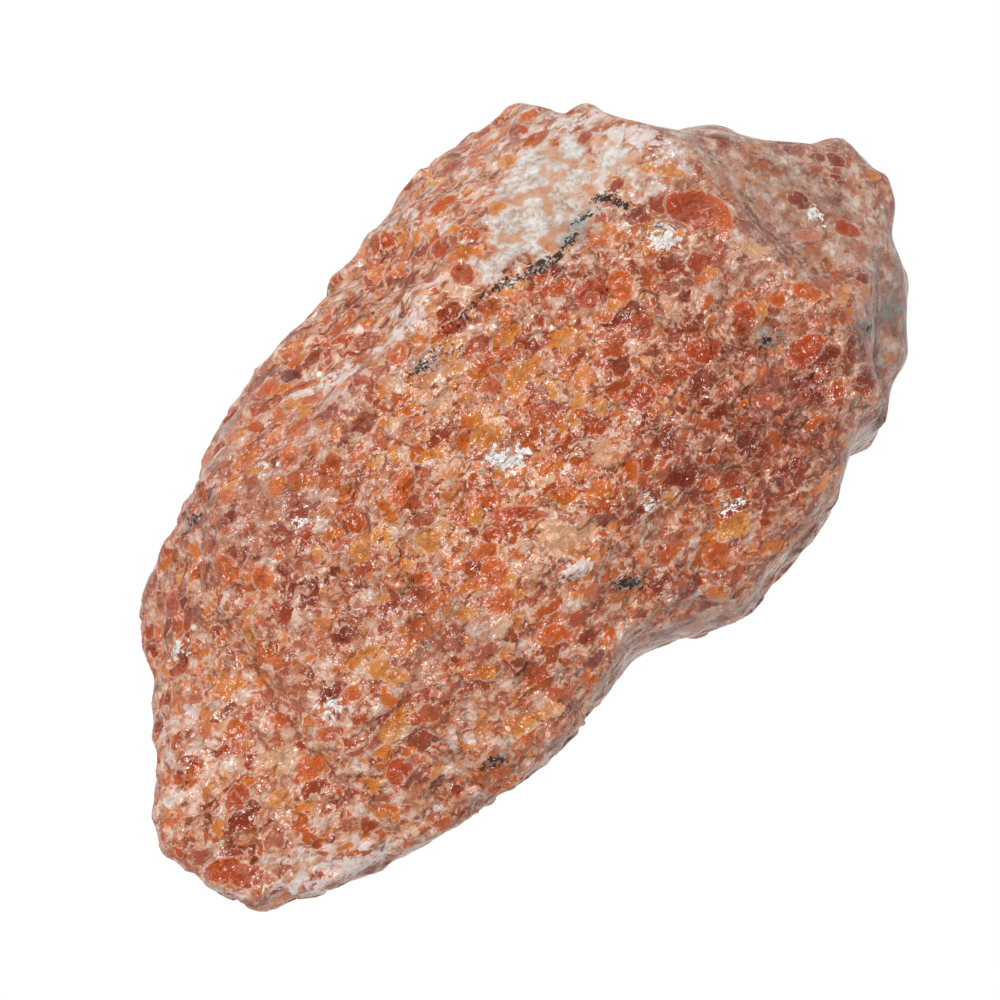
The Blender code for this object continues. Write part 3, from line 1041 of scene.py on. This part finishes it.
@dataclass(frozen=True)
class FeldsparFinish:
    """The finish of the whole stone: orange and red grains, pale crushed matrix, quartz and dark seams, with
    painted glints, painted sparkles and some painted shade in its colour.

    A cover is how much of a layer shows where its mask is full, a size is in millimetres, and a bump is
    how much of a relief's height counts.
    """

    grains: tuple[tuple[float, Colour], ...] = (
        (0.00, srgb(134, 54, 32)),
        (0.20, srgb(162, 68, 40)),
        (0.40, srgb(188, 82, 36)),
        (0.58, srgb(208, 100, 38)),
        (0.73, srgb(220, 126, 50)),
        (0.85, srgb(224, 146, 76)),
        (0.93, srgb(226, 164, 114)),
        (1.00, srgb(230, 186, 150)),
    )
    matrix: tuple[tuple[float, Colour], ...] = (
        (0.00, srgb(156, 76, 46)),
        (0.25, srgb(182, 100, 66)),
        (0.45, srgb(202, 130, 94)),
        (0.62, srgb(220, 158, 126)),
        (0.80, srgb(234, 194, 174)),
        (1.00, srgb(246, 226, 218)),
    )
    quartz: tuple[tuple[float, Colour], ...] = (
        (0.36, srgb(176, 154, 132)),
        (0.46, srgb(206, 192, 178)),
        (0.54, srgb(226, 220, 212)),
        (0.64, srgb(246, 244, 242)),
    )
    dark: tuple[tuple[float, Colour], ...] = (
        (0.44, srgb(28, 30, 28)),
        (0.52, srgb(58, 62, 58)),
        (0.58, srgb(118, 120, 112)),
        (0.64, srgb(208, 200, 190)),
    )
    # The next colour is that of the dark cracks: partly their own dark brown, partly painted shade in them.
    crack_shade: Colour = srgb(104, 50, 34)
    thread: Colour = srgb(238, 198, 176)
    haze: Colour = srgb(182, 126, 112)
    teal: Colour = srgb(112, 124, 120)
    pink: Colour = srgb(212, 144, 120)
    # The next ramp is the beige crust, which on the side walls is also painted shade.
    crust_and_shade: tuple[tuple[float, Colour], ...] = (
        (0.38, srgb(140, 98, 80)),
        (0.46, srgb(166, 134, 120)),
        (0.54, srgb(184, 160, 148)),
        (0.64, srgb(218, 204, 194)),
    )
    milk: Colour = srgb(240, 226, 220)
    # The next colour is the near-white of the painted glints, which are painted reflections; crack is the
    # dark lines in them.
    painted_glint: Colour = srgb(252, 246, 240)
    crack: Colour = srgb(126, 98, 88)
    amber: Colour = srgb(214, 144, 98)
    # The next colour is that of the painted sparkles: tiny pale flecks standing in for highlights.
    painted_sparkle: Colour = srgb(252, 226, 212)
    thread_cover: float = 0.8
    crack_shade_cover: float = 0.55
    pink_cover: float = 0.25
    haze_cover: float = 0.5
    crust_and_shade_cover: float = 0.68
    quartz_cover: float = 0.88
    amber_cover: float = 0.75
    rim_cover: float = 0.35
    teal_cover: float = 0.75
    dark_cover: float = 0.92
    # The next cover is how much of the painted sparkles shows.
    painted_sparkle_cover: float = 0.75
    wisp_size: float = 0.5
    grit_size: float = 0.2
    amber_size: float = 1.7
    amber_shift: tuple[float, float, float] = (31.0, 7.0, 3.0)
    least_rough: float = 0.1
    shade_rough: float = 0.14
    grit_rough: float = 0.2
    # The next roughness is the real roughness under the painted glints.
    glint_rough: float = 0.15
    flake_bump: float = 0.7
    fine_bump: float = 0.5
    micro_bump: float = 0.5
    wisp_bump: float = 0.12
    grit_bump: float = 0.04
    calming: float = 0.8

    def build(self) -> bpy.types.Material:
        """Makes the material.

        Returns:
            The material.
        """
        material = bpy.data.materials.new("feldspar_rock")
        material.use_nodes = True
        shader = material.node_tree.nodes["Principled BSDF"]
        wiring = Wiring(material.node_tree)
        ground = self.lay_ground(wiring)
        crisp = self.crispness(wiring, ground)
        glinting = self.painted_glint_mask(wiring, ground)
        body = self.lay_rock(wiring, ground)
        body = self.add_threads(wiring, ground, body)
        # Weathering, with painted shade on the side walls.
        body = self.weather(wiring, ground, body)
        body = self.add_quartz(wiring, ground, body)
        body = self.set_placed(wiring, ground, body)
        body = self.add_specks(wiring, ground, body)
        # Painted sparkles: tiny painted highlights, fewer where the stone is calmer.
        body = self.add_painted_sparkles(wiring, ground, body, crisp)
        # Painted glints: near-white painted reflections laid over everything.
        body = wiring.mix(glinting, body, self.painted_glint_colour(wiring, ground))
        wiring.feed(shader.inputs["Base Color"], body)
        wiring.feed(shader.inputs["Roughness"], self.roughness(wiring, ground, glinting))
        wiring.feed(shader.inputs["Normal"], self.relief(wiring, ground, crisp))
        return material

    def lay_ground(self, wiring: Wiring) -> Ground:
        """Adds the masks, fields and noises that the parts of the finish share.

        Args:
            wiring: where to add the nodes.

        Returns:
            The masks, fields and noises.
        """
        mask = {
            layer: wiring.add("ShaderNodeAttribute", attribute_name=layer.value).outputs["Fac"]
            for layer in Layer
            if layer is not Layer.WORN
        }
        vector = {
            name: wiring.add("ShaderNodeAttribute", attribute_name=name).outputs["Vector"]
            for name in (BED, BENT, CURLED, COARSE_CHANCE)
        }
        number = {
            name: wiring.add("ShaderNodeAttribute", attribute_name=name).outputs["Fac"]
            for name in (PATCHES, CLOUDS, COARSE_LEAN, COARSE_RIM)
        }
        return Ground(
            mask=mask,
            bed=vector[BED],
            coarse=Grains(vector[COARSE_CHANCE], number[COARSE_LEAN], number[COARSE_RIM]),
            flake=FLAKE.field(wiring, vector[BENT]),
            fine=FINE.field(wiring, vector[CURLED]),
            micro=MICRO.field(wiring, vector[CURLED]),
            patches=number[PATCHES],
            clouds=number[CLOUDS],
            wisps=wiring.noise(vector[CURLED], self.wisp_size, 2.0, 0.6).outputs["Fac"],
            grit=wiring.noise(vector[BED], self.grit_size, 1.0, 0.6).outputs["Fac"],
        )

    def crispness(self, wiring: Wiring, ground: Ground) -> Socket:
        """Works out how crisp the fine relief and the painted sparkles are, which is less on worn parts and
        quartz.

        Args:
            wiring: where to add the nodes.
            ground: the masks, fields and noises.

        Returns:
            1 on fresh breaks, and less where the stone is calmer.
        """
        still = wiring.math("MULTIPLY", ground.mask[Layer.CRUST_AND_SHADE], 0.75)
        still = wiring.math("MAXIMUM", still, wiring.rise(ground.mask[Layer.QUARTZ], -1.2, 0.4))
        still = wiring.math("MAXIMUM", still, wiring.math("MULTIPLY", ground.mask[Layer.CRUSHED_AND_SHADE], 1.8))
        return wiring.math("MULTIPLY_ADD", wiring.math("MINIMUM", still, 1.0), -self.calming, 1.0)

    def lay_rock(self, wiring: Wiring, ground: Ground) -> Socket:
        """Colours the matrix and sets the three coarser sizes of grain into it.

        Args:
            wiring: where to add the nodes.
            ground: the masks, fields and noises.

        Returns:
            The colour.
        """
        crush_and_shade = wiring.sway(ground.clouds, 1.3, 0.04)
        # The crushed mask's negative mark is painted shade: redder matrix on the face turned from the light.
        crush_and_shade = wiring.math("MULTIPLY_ADD", ground.mask[Layer.CRUSHED_AND_SHADE], 0.6, crush_and_shade)
        body = self.matrix_colour(wiring, ground, crush_and_shade)
        for grains, kind in ((ground.fine, FINE), (ground.coarse, COARSE), (ground.flake, FLAKE)):
            body = self.set_grains(wiring, ground, body, crush_and_shade, grains, kind)
        return body

    def matrix_colour(self, wiring: Wiring, ground: Ground, crush_and_shade: Socket) -> Socket:
        """Colours the matrix between the grains: peach, and paler where the rock is crushed.

        Args:
            wiring: where to add the nodes.
            ground: the masks, fields and noises.
            crush_and_shade: how pale and crushed the rock is, around 0; where a mark lowers it on the face
                turned from the light, it is painted shade.

        Returns:
            The colour.
        """
        _, flake, _ = wiring.parts(ground.fine.chance)
        kind, _, _ = wiring.parts(ground.micro.chance)
        tone = wiring.sway(kind, 0.35, 0.39)
        tone = wiring.sway(flake, 0.45, tone)
        tone = wiring.sway(ground.wisps, 0.6, tone)
        tone = wiring.math("MULTIPLY_ADD", crush_and_shade, 1.5, tone)
        return wiring.ramp(tone, self.matrix)

    def set_grains(
        self,
        wiring: Wiring,
        ground: Ground,
        body: Socket,
        crush_and_shade: Socket,
        grains: Grains,
        kind: GrainSize,
    ) -> Socket:
        """Sets grains of one size into the matrix: islands with a colour of their own and a pale rim.

        Args:
            wiring: where to add the nodes.
            ground: the masks, fields and noises.
            body: the colour below.
            crush_and_shade: how pale and crushed the rock is, around 0; where a mark lowers it on the face
                turned from the light, it is painted shade.
            grains: their field.
            kind: their size.

        Returns:
            The colour with the grains.
        """
        _, shade, gate = wiring.parts(grains.chance)
        held = wiring.math("MULTIPLY_ADD", crush_and_shade, -1.0, wiring.math("SUBTRACT", kind.share, gate))
        inside = wiring.math("MULTIPLY_ADD", shade, -kind.gap, grains.rim)
        inside = wiring.sway(ground.wisps, 0.35, inside)
        inside = wiring.math("MINIMUM", inside, wiring.math("MULTIPLY", held, 3.0))
        blur = wiring.math("MULTIPLY_ADD", wiring.rise(ground.clouds, 0.45, 0.65), 0.22, 0.05)
        island = wiring.rise(inside, 0.02, wiring.math("ADD", blur, 0.02))
        strength = wiring.math("MULTIPLY_ADD", wiring.rise(grains.lean, -0.12, 0.0), 0.2, 0.8)
        island = wiring.math("MULTIPLY", island, strength)
        body = wiring.mix(island, body, self.grain_colour(wiring, ground, grains, inside))
        line = wiring.line(inside, 0.0, 0.04, 0.13)
        line = wiring.math("MULTIPLY", line, wiring.rise(ground.wisps, 0.46, 0.56))
        # The warmth mask also holds painted shade; where it is negative there are fewer pale rims.
        clear = wiring.math("MULTIPLY_ADD", ground.mask[Layer.WARM_AND_SHADE], 0.35, 0.54)
        return wiring.mix(wiring.math("MULTIPLY", line, clear), body, self.thread)

    def grain_colour(self, wiring: Wiring, ground: Ground, grains: Grains, inside: Socket) -> Socket:
        """Colours grains of one size: a hue for each grain, and a lightness that varies within it.

        Args:
            wiring: where to add the nodes.
            ground: the masks, fields and noises.
            grains: their field.
            inside: the millimetres inside a grain's rim.

        Returns:
            The colour.
        """
        kind, shade, _ = wiring.parts(grains.chance)
        hue = wiring.math("MULTIPLY_ADD", kind, 0.8, 0.06)
        hue = wiring.sway(ground.patches, 1.0, hue)
        hue = wiring.math("MULTIPLY_ADD", grains.lean, 0.5, hue)
        hue = wiring.sway(ground.clouds, 0.4, hue)
        # The warmth mask turns grains amber, and its negative marks darken them to brick as painted shade.
        hue = wiring.math("MULTIPLY_ADD", ground.mask[Layer.WARM_AND_SHADE], 0.5, hue)
        colour = wiring.ramp(hue, self.grains)
        pinkish = wiring.math("MULTIPLY", wiring.rise(shade, 0.5, 1.0), self.pink_cover)
        colour = wiring.mix(pinkish, colour, self.pink)
        _, fine_shade, _ = wiring.parts(ground.fine.chance)
        _, micro_shade, _ = wiring.parts(ground.micro.chance)
        lightness = wiring.math("MULTIPLY_ADD", shade, 0.2, 0.92)
        lightness = wiring.math("MULTIPLY_ADD", fine_shade, 0.08, lightness)
        lightness = wiring.sway(micro_shade, 0.16, lightness)
        lightness = wiring.math("MULTIPLY_ADD", wiring.rise(inside, 0.05, 0.7), -0.14, lightness)
        return wiring.vector("SCALE", colour, lightness)

    def add_threads(self, wiring: Wiring, ground: Ground, body: Socket) -> Socket:
        """Draws thin winding threads over the rock: pale ones, and a few dark cracks whose colour is partly
        painted shade in them.

        Args:
            wiring: where to add the nodes.
            ground: the masks, fields and noises.
            body: the colour below.

        Returns:
            The colour with the threads.
        """
        thread = wiring.line(ground.wisps, 0.52, 0.004, 0.026)
        thread = wiring.math("MULTIPLY", thread, wiring.rise(ground.clouds, 0.5, 0.6))
        body = wiring.mix(wiring.math("MULTIPLY", thread, self.thread_cover), body, self.thread)
        # Dark cracks: partly dark colour, partly painted shade in the crack.
        crack_shade = wiring.line(ground.wisps, 0.42, 0.004, 0.02)
        crack_shade = wiring.math("MULTIPLY", crack_shade, wiring.rise(ground.clouds, 0.46, 0.38))
        return wiring.mix(wiring.math("MULTIPLY", crack_shade, self.crack_shade_cover), body, self.crack_shade)

    def weather(self, wiring: Wiring, ground: Ground, body: Socket) -> Socket:
        """Lays the mauve haze over the rock, and the beige crust of the weathered parts, which on the side
        walls is also painted shade.

        Args:
            wiring: where to add the nodes.
            ground: the masks, fields and noises.
            body: the colour below.

        Returns:
            The weathered colour.
        """
        hazy = wiring.math("ADD", ground.mask[Layer.HAZE], wiring.rise(ground.patches, 0.56, 0.8))
        hazy = wiring.math("MULTIPLY", hazy, wiring.rise(ground.clouds, 0.3, 0.65))
        body = wiring.mix(wiring.math("MULTIPLY", hazy, self.haze_cover), body, self.haze)
        # The beige crust is weathering, and on the right and front walls it also stands in for their shade:
        # painted shade.
        worn = wiring.math("MULTIPLY_ADD", ground.wisps, 0.25, wiring.math("MULTIPLY", ground.clouds, 0.75))
        crust_and_shade_mask = wiring.math("MULTIPLY", ground.mask[Layer.CRUST_AND_SHADE], self.crust_and_shade_cover)
        crust_and_shade_mask = wiring.math("MINIMUM", crust_and_shade_mask, self.crust_and_shade_cover)
        return wiring.mix(crust_and_shade_mask, body, wiring.ramp(worn, self.crust_and_shade))

    def add_quartz(self, wiring: Wiring, ground: Ground, body: Socket) -> Socket:
        """Lays the grey-white quartz with its amber spots over the grains.

        Args:
            wiring: where to add the nodes.
            ground: the masks, fields and noises.
            body: the colour below.

        Returns:
            The colour with the quartz.
        """
        tone = wiring.math("MULTIPLY_ADD", ground.wisps, 0.5, wiring.math("MULTIPLY", ground.clouds, 0.5))
        quartz = wiring.ramp(tone, self.quartz)
        elsewhere = wiring.vector("ADD", ground.bed, self.amber_shift)
        spots = wiring.noise(elsewhere, self.amber_size, 1.0).outputs["Fac"]
        spotted = wiring.math("MULTIPLY", wiring.rise(spots, 0.48, 0.62), self.amber_cover)
        quartz = wiring.mix(spotted, quartz, self.amber)
        ragged = wiring.sway(ground.clouds, 4.0, ground.mask[Layer.QUARTZ])
        ragged = wiring.sway(ground.wisps, 1.6, ragged)
        filled = wiring.math("MULTIPLY", wiring.rise(ragged, -0.6, 1.0), self.quartz_cover)
        return wiring.mix(filled, body, quartz)

    def set_placed(self, wiring: Wiring, ground: Ground, body: Socket) -> Socket:
        """Sets the grains that are placed one by one.

        Args:
            wiring: where to add the nodes.
            ground: the masks, fields and noises.
            body: the colour below.

        Returns:
            The colour with the grains.
        """
        tint = wiring.add("ShaderNodeAttribute", attribute_name=GRAIN_TINT).outputs["Color"]
        kind, _, _ = wiring.parts(ground.flake.chance)
        _, part, _ = wiring.parts(ground.fine.chance)
        inside = wiring.sway(ground.wisps, 0.5, ground.mask[Layer.GRAIN])
        inside = wiring.sway(ground.clouds, 0.7, inside)
        inside = wiring.sway(kind, 0.5, inside)
        inside = wiring.sway(part, 0.35, inside)
        line = wiring.line(inside, 0.0, 0.04, 0.14)
        lightness = wiring.math("MULTIPLY_ADD", wiring.rise(inside, 0.0, 0.8), -0.2, 1.08)
        lightness = wiring.sway(ground.wisps, 0.4, lightness)
        lightness = wiring.sway(part, 0.2, lightness)
        strength = wiring.math("MULTIPLY_ADD", ground.wisps, -0.8, 1.25)
        shown = wiring.math("MULTIPLY", wiring.rise(inside, 0.0, 0.18), strength)
        body = wiring.mix(shown, body, wiring.vector("SCALE", tint, lightness))
        return wiring.mix(wiring.math("MULTIPLY", line, self.rim_cover), body, self.thread)

    def add_specks(self, wiring: Wiring, ground: Ground, body: Socket) -> Socket:
        """Adds the teal knots, the milky spots and the speckled dark mineral.

        Args:
            wiring: where to add the nodes.
            ground: the masks, fields and noises.
            body: the colour below.

        Returns:
            The colour with them.
        """
        tealish = wiring.math("MULTIPLY", ground.mask[Layer.TEAL], wiring.rise(ground.wisps, 0.4, 0.6))
        body = wiring.mix(wiring.math("MINIMUM", tealish, self.teal_cover), body, self.teal)
        milky = self.edge(wiring, ground, ground.mask[Layer.MILK])
        whiteness = wiring.math("MULTIPLY_ADD", wiring.rise(ground.wisps, 0.35, 0.6), 0.5, 0.35)
        body = wiring.mix(wiring.math("MULTIPLY", milky, whiteness), body, self.milk)
        speckle = wiring.math("MULTIPLY_ADD", ground.grit, 0.35, wiring.math("MULTIPLY", ground.wisps, 0.65))
        spread = wiring.sway(speckle, -3.0, ground.mask[Layer.DARK])
        darkened = wiring.math("MULTIPLY", wiring.rise(spread, -0.18, 0.16), self.dark_cover)
        return wiring.mix(darkened, body, wiring.ramp(speckle, self.dark))

    def add_painted_sparkles(self, wiring: Wiring, ground: Ground, body: Socket, crisp: Socket) -> Socket:
        """Adds painted sparkles: tiny pale flecks that stand in for highlights on the finest facets.

        Args:
            wiring: where to add the nodes.
            ground: the masks, fields and noises.
            body: the colour below.
            crisp: how crisp the place is.

        Returns:
            The colour with the sparks.
        """
        strength = wiring.math("MULTIPLY", crisp, self.painted_sparkle_cover)
        sparkles = wiring.math("MULTIPLY", wiring.rise(ground.grit, 0.7, 0.76), strength)
        return wiring.mix(sparkles, body, self.painted_sparkle)

    def edge(self, wiring: Wiring, ground: Ground, reach: Socket) -> Socket:
        """Turns the millimetres inside a mark into a mask with a ragged rim.

        Args:
            wiring: where to add the nodes.
            ground: the masks, fields and noises.
            reach: the millimetres inside the mark.

        Returns:
            The mask.
        """
        kind, _, _ = wiring.parts(ground.fine.chance)
        chip, _, _ = wiring.parts(ground.micro.chance)
        ragged = wiring.sway(ground.wisps, 1.8, reach)
        ragged = wiring.sway(kind, 0.9, ragged)
        ragged = wiring.sway(chip, 0.7, ragged)
        ragged = wiring.sway(ground.clouds, 1.2, ragged)
        return wiring.rise(ragged, 0.0, 0.2)

    def painted_glint_mask(self, wiring: Wiring, ground: Ground) -> Socket:
        """Finds the painted glints: near-white patches that stand in for the light's reflection off cleavage
        faces.

        Args:
            wiring: where to add the nodes.
            ground: the masks, fields and noises.

        Returns:
            The mask.
        """
        chip, _, _ = wiring.parts(ground.micro.chance)
        whole = wiring.rise(chip, 0.2, 0.26)
        return wiring.math("MULTIPLY", self.edge(wiring, ground, ground.mask[Layer.GLINT]), whole)

    def painted_glint_colour(self, wiring: Wiring, ground: Ground) -> Socket:
        """Colours the painted glints: a near-white painted reflection, with thin dark cracks in it.

        Args:
            wiring: where to add the nodes.
            ground: the masks, fields and noises.

        Returns:
            The colour.
        """
        crackle = wiring.math("ABSOLUTE", wiring.math("SUBTRACT", ground.wisps, 0.5))
        return wiring.mix(wiring.rise(crackle, 0.03, 0.0), self.painted_glint, self.crack)

    def roughness(self, wiring: Wiring, ground: Ground, glinting: Socket) -> Socket:
        """Works out how rough the surface is.

        Args:
            wiring: where to add the nodes.
            ground: the masks, fields and noises.
            glinting: the mask of the painted glints.

        Returns:
            The roughness.
        """
        _, shade, _ = wiring.parts(ground.flake.chance)
        rough = wiring.math("MULTIPLY_ADD", shade, self.shade_rough, self.least_rough)
        rough = wiring.math("MULTIPLY_ADD", ground.grit, self.grit_rough, rough)
        return wiring.between(glinting, rough, self.glint_rough)

    def relief(self, wiring: Wiring, ground: Ground, crisp: Socket) -> Socket:
        """Turns the grains' tilted faces and the finest noises into a bump.

        Args:
            wiring: where to add the nodes.
            ground: the masks, fields and noises.
            crisp: how crisp the place is.

        Returns:
            The bumped normal.
        """
        height = wiring.math("MULTIPLY", FLAKE.height(wiring, ground.flake), self.flake_bump)
        height = wiring.math("MULTIPLY_ADD", FINE.height(wiring, ground.fine), self.fine_bump, height)
        height = wiring.math("MULTIPLY_ADD", MICRO.height(wiring, ground.micro), self.micro_bump, height)
        height = wiring.math("MULTIPLY_ADD", ground.wisps, self.wisp_bump, height)
        height = wiring.math("MULTIPLY_ADD", ground.grit, self.grit_bump, height)
        height = wiring.math("MULTIPLY", height, crisp)
        bump = wiring.add("ShaderNodeBump")
        bump.inputs["Distance"].default_value = MM
        bump.inputs["Strength"].default_value = 1.0
        wiring.feed(bump.inputs["Height"], height)
        return bump.outputs[0]


@dataclass(frozen=True)
class Studio:
    """A pale floor and plain soft light from the picture's upper left."""

    floor_side: float = 4.0
    key_power: float = 7.65
    key_side: float = 0.14
    key_place: tuple[float, float, float] = (-0.07, 0.13, 0.93)
    glint_power: float = 0.5
    glint_side: float = 0.05
    glint_place: tuple[float, float, float] = (-0.45, 0.1, 0.80)
    sky: float = 0.08
    floor_parts: int = 8
    bounces: int = 1

    def build(self) -> None:
        """Makes the floor, the lights and the world."""
        self.build_floor()
        self.build_light("key", self.key_place, self.key_power, self.key_side)
        self.build_light("glint", self.glint_place, self.glint_power, self.glint_side)
        world = bpy.data.worlds.new("studio")
        world.use_nodes = True
        background = world.node_tree.nodes["Background"]
        background.inputs["Color"].default_value = (1, 1, 1, 1)
        background.inputs["Strength"].default_value = self.sky
        world.cycles.sampling_method = "NONE"
        bpy.context.scene.world = world
        bpy.context.scene.view_settings.view_transform = "Standard"
        bpy.context.scene.cycles.diffuse_bounces = self.bounces
        bpy.context.scene.cycles.glossy_bounces = self.bounces

    def build_floor(self) -> None:
        """Makes the pale floor."""
        plane = bmesh.new()
        parts = self.floor_parts
        bmesh.ops.create_grid(plane, x_segments=parts, y_segments=parts, size=self.floor_side / 2)
        mesh = bpy.data.meshes.new("floor")
        plane.to_mesh(mesh)
        plane.free()
        floor = bpy.data.objects.new("floor", mesh)
        bpy.context.scene.collection.objects.link(floor)
        material = bpy.data.materials.new("pale_paper")
        material.use_nodes = True
        shader = material.node_tree.nodes["Principled BSDF"]
        shader.inputs["Base Color"].default_value = (0, 0, 0, 1)
        shader.inputs["Roughness"].default_value = 1.0
        shader.inputs["Specular IOR Level"].default_value = 0.0
        shader.inputs["Emission Color"].default_value = (1, 1, 1, 1)
        shader.inputs["Emission Strength"].default_value = 1.0
        material.cycles.emission_sampling = "NONE"
        mesh.materials.append(material)

    def build_light(self, name: str, place: tuple[float, float, float], power: float, side: float) -> None:
        """Makes a square light that faces the stone.

        Args:
            name: its name.
            place: where it hangs.
            power: its power, in watts.
            side: its side.
        """
        lamp = bpy.data.lights.new(name, "AREA")
        lamp.energy = power
        lamp.size = side
        light = bpy.data.objects.new(name, lamp)
        bpy.context.scene.collection.objects.link(light)
        light.location = place
        light.rotation_euler = Vector(place).to_track_quat("Z", "Y").to_euler()


def main() -> None:
    """Builds the camera, the stone and the studio, and logs the stone and the studio."""
    logging.basicConfig(level=logging.INFO, format="%(name)s: %(message)s")
    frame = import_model()
    photograph = Photograph()
    photograph.build()
    stone = Skin(frame["nodes"]["sunstone"], photograph).build()
    stone.data.materials.clear()
    stone.data.materials.append(FeldsparFinish().build())
    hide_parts("sunstone")
    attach(stone, "root")
    LOG.info("stone: %d faces", len(stone.data.polygons))
    Studio().build()
    LOG.info("studio: floor and light")


if __name__ == "__main__":
    main()
